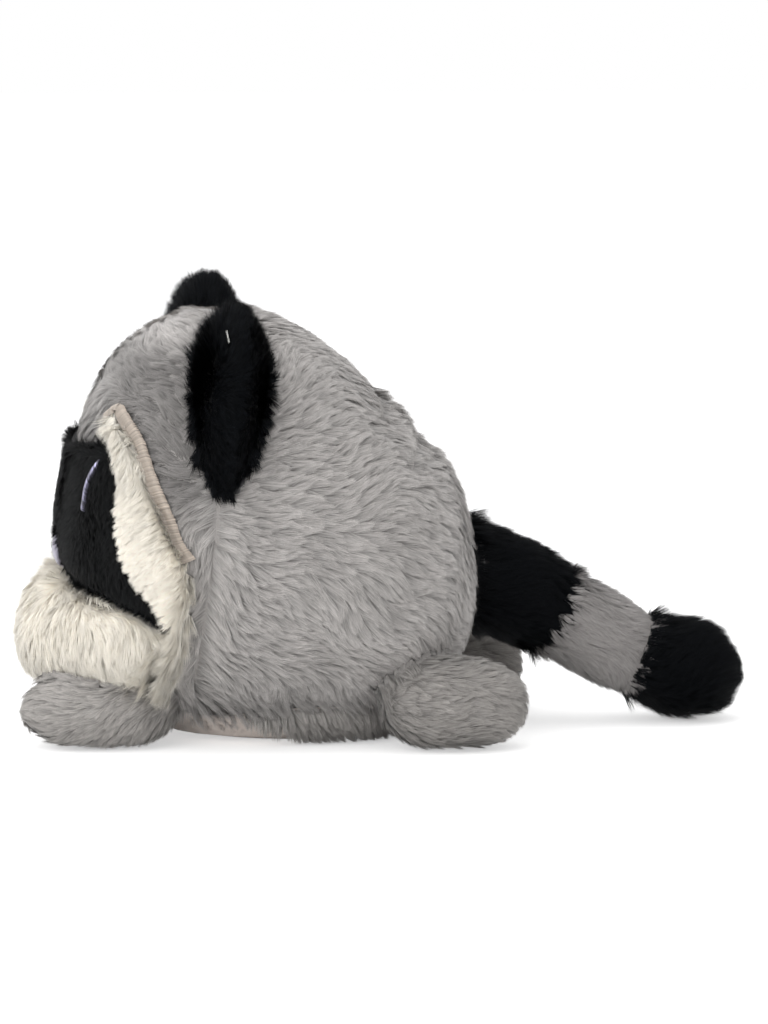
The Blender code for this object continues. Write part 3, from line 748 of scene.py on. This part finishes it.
def smooth_line(points, count):
    """count bearings spread evenly along a smooth line through a few."""
    points = np.array(points, float)
    ends = np.vstack([2 * points[0] - points[1], points, 2 * points[-1] - points[-2]])
    fine = []
    for a, b, c, d in zip(ends, ends[1:], ends[2:], ends[3:]):
        for t in np.linspace(0, 1, 12, endpoint=False):
            curve = (2 * a - 5 * b + 4 * c - d) * t**2 + (3 * b - a - 3 * c + d) * t**3
            fine.append(b + 0.5 * ((c - a) * t + curve))
    fine = np.array([*fine, points[-1]])
    along = np.concatenate([[0], np.cumsum(np.linalg.norm(np.diff(fine, axis=0), axis=1))])
    at = np.linspace(0, along[-1], count)
    return np.stack([np.interp(at, along, fine[:, k]) for k in range(2)], axis=1)


def lay_threads(
    name, node, over, runs, material, hex_colour, thickness, seed, proud=0.0002, steps=6, flat=0.7, gleam=0.2,
    scatter=0.1,
):
    """Embroidery threads in place of a node, one for each run of two points, tucked in at both ends.

    over are the nodes they lie on, or none where they lie on the body, and proud is how far above them. flat is
    their height as a share of their width, gleam how much lighter their far end is painted, as a painted highlight,
    and scatter how much their tones differ."""
    rng = np.random.default_rng(seed)
    form = bmesh.new()
    tones = []
    for start, end in runs:
        rings = []
        tone = rng.lognormal(0, scatter)
        for i in range(steps + 1):
            t = i / steps
            at_end = i in (0, steps)
            point = start.lerp(end, t)
            normal = (point - STUFFING_MIDDLE).normalized()
            place = on_face(over, normal)
            across = normal.cross(end - start).normalized()
            height = proud * math.sin(math.pi * (0.08 + 0.84 * t)) ** 0.5 - THREAD_TUCK * at_end
            size = 0.5 * thickness * (THREAD_END_WIDTH if at_end else 1.0)
            place += height * normal
            rings.append([
                form.verts.new(place + size * (flat * math.sin(angle) * normal + math.cos(angle) * across))
                for angle in THREAD_PROFILE
            ])
            # Each thread is painted lighter towards its far end, a painted highlight.
            tones += [tone * (0.86 + gleam * t**4)] * len(THREAD_PROFILE)
        for ring, following in zip(rings, rings[1:]):
            for k in range(len(THREAD_PROFILE) - 1):
                form.faces.new((ring[k], following[k], following[k + 1], ring[k + 1]))
    bmesh.ops.recalc_face_normals(form, faces=form.faces)
    mesh = bpy.data.meshes.new(name)
    form.to_mesh(mesh)
    form.free()
    mesh.shade_smooth()
    shades = np.hstack([np.outer(tones, linear(hex_colour)[:3]), np.ones((len(tones), 1))])
    fibres = mesh.attributes.new("fibre", "FLOAT_COLOR", "POINT")
    fibres.data.foreach_set("color", shades.astype(np.float32).ravel())
    mesh.materials.append(material)
    piece = bpy.data.objects.new(name, mesh)
    bpy.context.scene.collection.objects.link(piece)
    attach(piece, "root")
    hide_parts(node)
    return piece


def runs_across(over, line, width, pitch, slant, seed):
    """The two ends of each thread of a border that follows a line of bearings. Its threads lean by slant widths."""
    rng = np.random.default_rng(seed)
    middles = [on_face(over, towards(*bearing)) for bearing in smooth_line(line, LINE_STEPS)]
    walked = np.concatenate([[0], np.cumsum([(b - a).length for a, b in zip(middles, middles[1:])])])
    runs = []
    for at in np.arange(0.3 * pitch, walked[-1], pitch):
        i = min(int(np.searchsorted(walked, at)), LINE_STEPS - 2)
        place = middles[i]
        ahead = (middles[min(i + LINE_SPAN, LINE_STEPS - 1)] - middles[max(i - LINE_SPAN, 0)]).normalized()
        across = (place - STUFFING_MIDDLE).cross(ahead).normalized()
        lean = ahead * slant * width
        reach = 0.5 * width + rng.uniform(-0.00012, 0.00018)
        runs.append((place - across * reach - lean, place + across * reach + lean))
    return runs


beige_thread = satin_thread("beige_polyester_thread")
for side, sign in (("left", 1), ("right", -1)):
    node, over = "brow_stitching_" + side, ("brow_patch_" + side,)
    runs = []
    for stretch in (STITCH_CAP, STITCH_SIDE):
        line = [(sign * left, up) for left, up in stretch]
        runs += runs_across(over, line, STITCH_WIDTH, STITCH_PITCH, slant=0.10, seed=80 + sign)
    lay_threads(
        node + "_threads", node, over, runs, beige_thread, BEIGE_THREAD, thickness=0.00056,
        seed=82 + sign, proud=0.0007, gleam=0.6, scatter=0.14,
    )

# Nose: an embroidered pad of lavender-grey satin stitch between the mask and the muzzle, with its threads
# running up and down.
LAVENDER_THREAD = "#A7A3B4"
NOSE_THREADS = 56
NOSE_UPPER_EDGE = ((8.4, -2.2), (5.0, 2.4), (0.0, 3.6), (-5.0, 2.4), (-8.4, -2.2))
NOSE_LOWER_EDGE = ((8.0, -3.8), (4.6, -5.9), (0.0, -6.6), (-4.6, -5.9), (-8.0, -3.8))
lavender_thread = satin_thread("lavender_polyester_thread")
upper_ends, lower_ends = (
    [on_face(("nose_embroidery",), towards(*bearing)) for bearing in smooth_line(edge, NOSE_THREADS)]
    for edge in (NOSE_UPPER_EDGE, NOSE_LOWER_EDGE)
)
lay_threads(
    "nose_threads", "nose_embroidery", ("nose_embroidery",), list(zip(upper_ends, lower_ends)), lavender_thread,
    LAVENDER_THREAD, thickness=0.00052, seed=90,
)

# Eyes: one curved satin stitch line each, on the black mask. Their thread is darker than the nose's, and its
# stitches are spaced so that the mask shows between them.
EYE_THREAD = "#7C7A92"
EYE_LINE = ((34.0, 23.8), (31.0, 20.8), (29.4, 17.4), (29.2, 12.2))
EYE_WIDTH = 0.0013
EYE_PITCH = 0.00062
for side, sign in (("left", 1), ("right", -1)):
    node = "eye_embroidery_" + side
    line = [(sign * left, up) for left, up in EYE_LINE]
    lay_threads(
        node + "_threads", node, ("face_mask",),
        runs_across(("face_mask",), line, EYE_WIDTH, EYE_PITCH, slant=0.7, seed=92 + sign),
        lavender_thread, EYE_THREAD, thickness=0.00042, seed=94 + sign, proud=0.0006, gleam=0.6,
        scatter=0.85,
    )

# Stage: a pale floor and surroundings, three large soft lamps, and the camera at the photograph's angle.
FLOOR_HALF = 6.0
FLOOR_GLOW = 0.5
ROOM_LIGHT = 0.78
LAMP_TARGET = Vector((0.0, 0.03, 0.06))
CAMERA_AZIMUTH = 83.0
CAMERA_ELEVATION = 7.0
CAMERA_DISTANCE = 1.6
CAMERA_TARGET = Vector((0.0, 0.038, 0.072))
CAMERA_SENSOR = 36.0
PICTURE_WIDTH = 0.3413


def seen_rays(material):
    """1 for what the camera sees directly, in gloss or through clear material, and 0 for light on the object."""
    path = add_node(material, "ShaderNodeLightPath")
    gloss = add_node(
        material, "ShaderNodeMath", {"operation": "MAXIMUM"},
        {0: (path, "Is Glossy Ray"), 1: (path, "Is Transmission Ray")},
    )
    return add_node(
        material, "ShaderNodeMath", {"operation": "MAXIMUM"}, {0: (path, "Is Camera Ray"), 1: (gloss, "Value")},
    )


floor_material = empty_material("pale_floor")
seen = seen_rays(floor_material)
matt = add_node(floor_material, "ShaderNodeBsdfDiffuse", {"Color": linear("#F2F2F2")})
fade = add_node(floor_material, "ShaderNodeMath", {"operation": "MULTIPLY", 1: FLOOR_GLOW}, {0: (seen, "Value")})
glow = add_node(floor_material, "ShaderNodeEmission", {"Color": (1, 1, 1, 1)}, {"Strength": (fade, "Value")})
lit = add_node(floor_material, "ShaderNodeAddShader", links={0: (matt, "BSDF"), 1: (glow, "Emission")})
add_node(floor_material, "ShaderNodeOutputMaterial", links={"Surface": (lit, "Shader")})
floor_mesh = bpy.data.meshes.new("floor")
floor_corners = [(x * FLOOR_HALF, y * FLOOR_HALF, 0) for x, y in ((-1, -1), (1, -1), (1, 1), (-1, 1))]
floor_mesh.from_pydata(floor_corners, [], [(0, 1, 2, 3)])
floor_mesh.materials.append(floor_material)
floor = bpy.data.objects.new("floor", floor_mesh)
bpy.context.scene.collection.objects.link(floor)

world = bpy.data.worlds.new("studio")
bpy.context.scene.world = world
world.use_nodes = True
world.node_tree.nodes.clear()
seen = seen_rays(world)
room = add_node(world, "ShaderNodeBackground", {"Color": (1, 1, 1, 1), "Strength": ROOM_LIGHT})
white = add_node(world, "ShaderNodeBackground", {"Color": (1, 1, 1, 1), "Strength": 1.0})
either = add_node(
    world, "ShaderNodeMixShader", links={0: (seen, "Value"), 1: (room, "Background"), 2: (white, "Background")},
)
add_node(world, "ShaderNodeOutputWorld", links={"Surface": (either, "Shader")})

for name, place, size, power in (
    ("key_lamp", (1.1, -1.2, 1.0), 1.4, 11.0),
    ("top_lamp", (0.1, -0.2, 1.8), 1.6, 8.0),
    ("low_lamp", (1.3, -0.9, 0.3), 1.0, 3.0),
):
    lamp = bpy.data.lights.new(name, "AREA")
    lamp.shape = "DISK"
    lamp.size = size
    lamp.energy = power
    holder = bpy.data.objects.new(name, lamp)
    holder.location = place
    holder.rotation_euler = (LAMP_TARGET - Vector(place)).to_track_quat("-Z", "Y").to_euler()
    bpy.context.scene.collection.objects.link(holder)

azimuth, elevation = math.radians(CAMERA_AZIMUTH), math.radians(CAMERA_ELEVATION)
outward = Vector((
    math.cos(elevation) * math.sin(azimuth), -math.cos(elevation) * math.cos(azimuth), math.sin(elevation)
))
lens = bpy.data.cameras.new("camera")
lens.sensor_width = CAMERA_SENSOR
lens.lens = CAMERA_SENSOR * CAMERA_DISTANCE / PICTURE_WIDTH
camera = bpy.data.objects.new("camera", lens)
camera.location = CAMERA_TARGET + CAMERA_DISTANCE * outward
camera.rotation_euler = (-outward).to_track_quat("-Z", "Y").to_euler()
bpy.context.scene.collection.objects.link(camera)
bpy.context.scene.camera = camera
bpy.context.scene.view_settings.view_transform = "Standard"
